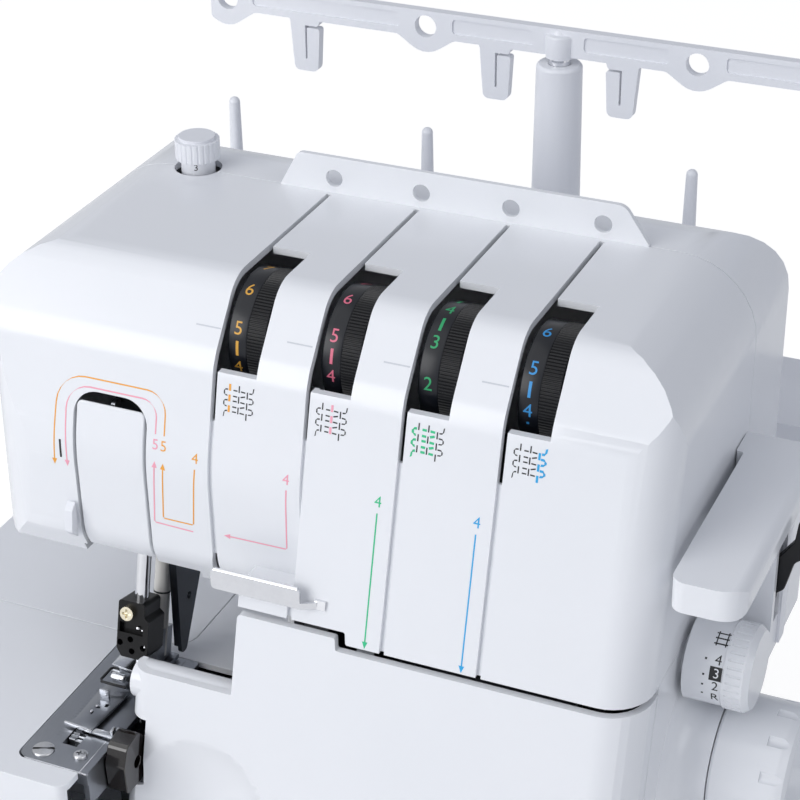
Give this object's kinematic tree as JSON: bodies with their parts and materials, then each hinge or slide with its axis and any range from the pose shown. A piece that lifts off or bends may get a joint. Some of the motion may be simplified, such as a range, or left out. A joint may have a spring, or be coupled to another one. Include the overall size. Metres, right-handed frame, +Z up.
{
  "type": "serger overlock machine",
  "caption": "Free-standing white serger overlock sewing machine with swing-open covers, ribbed tension dials, handwheel and a spool stand with a telescopic thread tree.",
  "frame": {"origin": "bottom centre of the bounding box, on the surface that the feet stand on", "axes": "+X to the right along the machine as its user sees it, +Y towards its back, +Z up"},
  "size_m": [0.335, 0.282, 0.2949],
  "materials": {
    "white_casing": "glossy moulded ABS",
    "white_fittings": "glossy moulded ABS",
    "white_satin": "satin moulded plastic",
    "black_dials": "satin black plastic",
    "black_plastic": "satin black plastic",
    "smoked_guard": "glossy dark brown plastic",
    "bright_steel": "fine ground steel",
    "chrome": "polished chrome",
    "dark_steel": "blackened steel",
    "frame": "die-cast, as cast",
    "brass": "plated brass",
    "rubber": "moulded rubber",
    "lens": "clear moulded plastic",
    "scale": "printed plate"
  },
  "bodies": {
    "machine": {"base_tray": "white_casing", "rubber_feet": "rubber", "cast_frame": "frame", "rear_casing": "white_casing", "front_casing": "white_casing", "bed_cover": "white_casing", "inner_bed_cover": "white_casing", "cloth_plate_hinge": "bright_steel", "side_cover": "white_casing", "take_up_cover": "white_casing", "needle_plate": "bright_steel", "plate_screws": "chrome", "knife_guard": "smoked_guard", "lower_knife": "bright_steel", "tension_posts": "bright_steel", "tension_discs": "bright_steel", "top_thread_guide": "white_fittings", "front_thread_guide": "chrome", "left_thread_guide": "white_satin", "pressure_screw": "bright_steel", "feed_scale": "scale", "motor": "dark_steel", "timing_belt": "rubber", "inlet_socket": "black_plastic", "lamp_lens": "lens", "spool_tray": "white_fittings", "tray_screws": "chrome", "spool_pins": "white_satin", "pole_sleeve": "white_fittings", "casing_screws": "chrome", "presser_spring": "bright_steel"},
    "cover_rod": {"looper_cover_rod": "bright_steel"},
    "looper_cover": {"looper_cover": "white_casing"},
    "cloth_plate_cover": {"cloth_plate_cover": "white_casing"},
    "dial_1": {"tension_dial_1": "black_dials"},
    "dial_2": {"tension_dial_2": "black_dials"},
    "dial_3": {"tension_dial_3": "black_dials"},
    "dial_4": {"tension_dial_4": "black_dials"},
    "pressure_knob": {"pressure_knob": "white_fittings"},
    "stitch_dial": {"stitch_dial": "white_fittings"},
    "feed_lever": {"differential_lever": "black_plastic"},
    "drive": {"handwheel": "white_fittings", "main_shaft": "bright_steel", "shaft_pulley": "black_plastic"},
    "motor_rotor": {"motor_pulley": "black_plastic"},
    "needle_bar": {"needle_bar": "chrome", "needle_clamp": "black_plastic", "clamp_screw": "brass", "needles": "chrome"},
    "presser": {"presser_bar": "bright_steel", "presser_foot": "bright_steel"},
    "lifter": {"presser_lifter": "dark_steel"},
    "feed_dog": {"feed_dog": "bright_steel"},
    "upper_looper": {"upper_looper": "bright_steel"},
    "lower_looper": {"lower_looper": "bright_steel"},
    "upper_knife": {"upper_knife": "bright_steel"},
    "take_up": {"take_up_lever": "bright_steel"},
    "switch": {"power_switch": "black_plastic"},
    "tree_rod": {"tree_rod": "chrome"},
    "thread_tree": {"thread_tree": "white_fittings"}
  },
  "joints": [
    {"name": "cover_slide", "type": "slide", "parent": "machine", "child": "cover_rod", "axis": [1, 0, 0], "range_m": [0, 0.003]},
    {"name": "cover_hinge", "type": "hinge", "parent": "cover_rod", "child": "looper_cover", "pos_m": [0, -0.11957, 0.024], "axis": [1, 0, 0], "range_deg": [0, 70]},
    {"name": "cloth_plate_swing", "type": "hinge", "parent": "machine", "child": "cloth_plate_cover", "pos_m": [-0.1635, -0.0567, 0.05], "axis": [0, 0, 1], "range_deg": [-75, 0]},
    {"name": "tension_1_turn", "type": "hinge", "parent": "machine", "child": "dial_1", "pos_m": [-0.0224, -0.0446, 0.2357], "axis": [1, 0, 0], "range_deg": [-150, 150]},
    {"name": "tension_2_turn", "type": "hinge", "parent": "machine", "child": "dial_2", "pos_m": [0.0116, -0.0446, 0.2357], "axis": [1, 0, 0], "range_deg": [-150, 150]},
    {"name": "tension_3_turn", "type": "hinge", "parent": "machine", "child": "dial_3", "pos_m": [0.0456, -0.0446, 0.2357], "axis": [1, 0, 0], "range_deg": [-150, 150]},
    {"name": "tension_4_turn", "type": "hinge", "parent": "machine", "child": "dial_4", "pos_m": [0.0796, -0.0446, 0.2357], "axis": [1, 0, 0], "range_deg": [-150, 150]},
    {"name": "pressure_turn", "type": "hinge", "parent": "machine", "child": "pressure_knob", "pos_m": [-0.0844, 0.021, 0.26], "axis": [0, 0, 1], "range_deg": [-180, 180]},
    {"name": "stitch_length_turn", "type": "hinge", "parent": "machine", "child": "stitch_dial", "pos_m": [0.14, -0.043, 0.143], "axis": [1, 0, 0], "range_deg": [-120, 120]},
    {"name": "differential_turn", "type": "hinge", "parent": "machine", "child": "feed_lever", "pos_m": [0.1425, -0.02, 0.158], "axis": [0, 1, 0], "range_deg": [0, 25]},
    {"name": "handwheel_turn", "type": "hinge", "parent": "machine", "child": "drive", "pos_m": [0.15, -0.039, 0.101], "axis": [1, 0, 0], "continuous": true},
    {"name": "motor_turn", "type": "hinge", "parent": "machine", "child": "motor_rotor", "pos_m": [0.099, 0.026, 0.05], "axis": [1, 0, 0], "continuous": true},
    {"name": "needle_bar_slide", "type": "slide", "parent": "machine", "child": "needle_bar", "axis": [0, 0.2334, 0.9724], "range_m": [0, 0.02]},
    {"name": "presser_lift", "type": "hinge", "parent": "machine", "child": "lifter", "pos_m": [-0.055, -0.043, 0.162], "axis": [1, 0, 0], "range_deg": [0, 30]},
    {"name": "presser_slide", "type": "slide", "parent": "machine", "child": "presser", "axis": [0, 0.2334, 0.9724], "range_m": [0, 0.006], "deforming": ["presser_spring"]},
    {"name": "feed_slide", "type": "slide", "parent": "machine", "child": "feed_dog", "axis": [0, 1, 0], "range_m": [-0.0012, 0.0012]},
    {"name": "upper_looper_swing", "type": "hinge", "parent": "machine", "child": "upper_looper", "pos_m": [0.008, -0.04, 0.058], "axis": [0, 1, 0], "range_deg": [-6, 6]},
    {"name": "lower_looper_swing", "type": "hinge", "parent": "machine", "child": "lower_looper", "pos_m": [-0.034, -0.04, 0.044], "axis": [0, 1, 0], "range_deg": [-6, 6]},
    {"name": "upper_knife_slide", "type": "slide", "parent": "machine", "child": "upper_knife", "axis": [0, 0, 1], "range_m": [0, 0.006]},
    {"name": "take_up_slide", "type": "slide", "parent": "machine", "child": "take_up", "axis": [0, 0, 1], "range_m": [0, 0.012]},
    {"name": "switch_rock", "type": "hinge", "parent": "machine", "child": "switch", "pos_m": [0.122, 0.004, 0.066], "axis": [0, 1, 0], "range_deg": [-7, 7]},
    {"name": "tree_rod_slide", "type": "slide", "parent": "machine", "child": "tree_rod", "axis": [0, 0, 1], "range_m": [0, 0.11]},
    {"name": "tree_turn", "type": "hinge", "parent": "tree_rod", "child": "thread_tree", "pos_m": [0.0208, 0.1145, 0.2896], "axis": [0, 0, 1], "range_deg": [-40, 40]}
  ],
  "couplings": [
    {"joint": "motor_turn", "follows": "handwheel_turn", "ratio": 2.75},
    {"joint": "presser_lift", "follows": "presser_slide", "rad_per_m": 87.2}
  ]
}
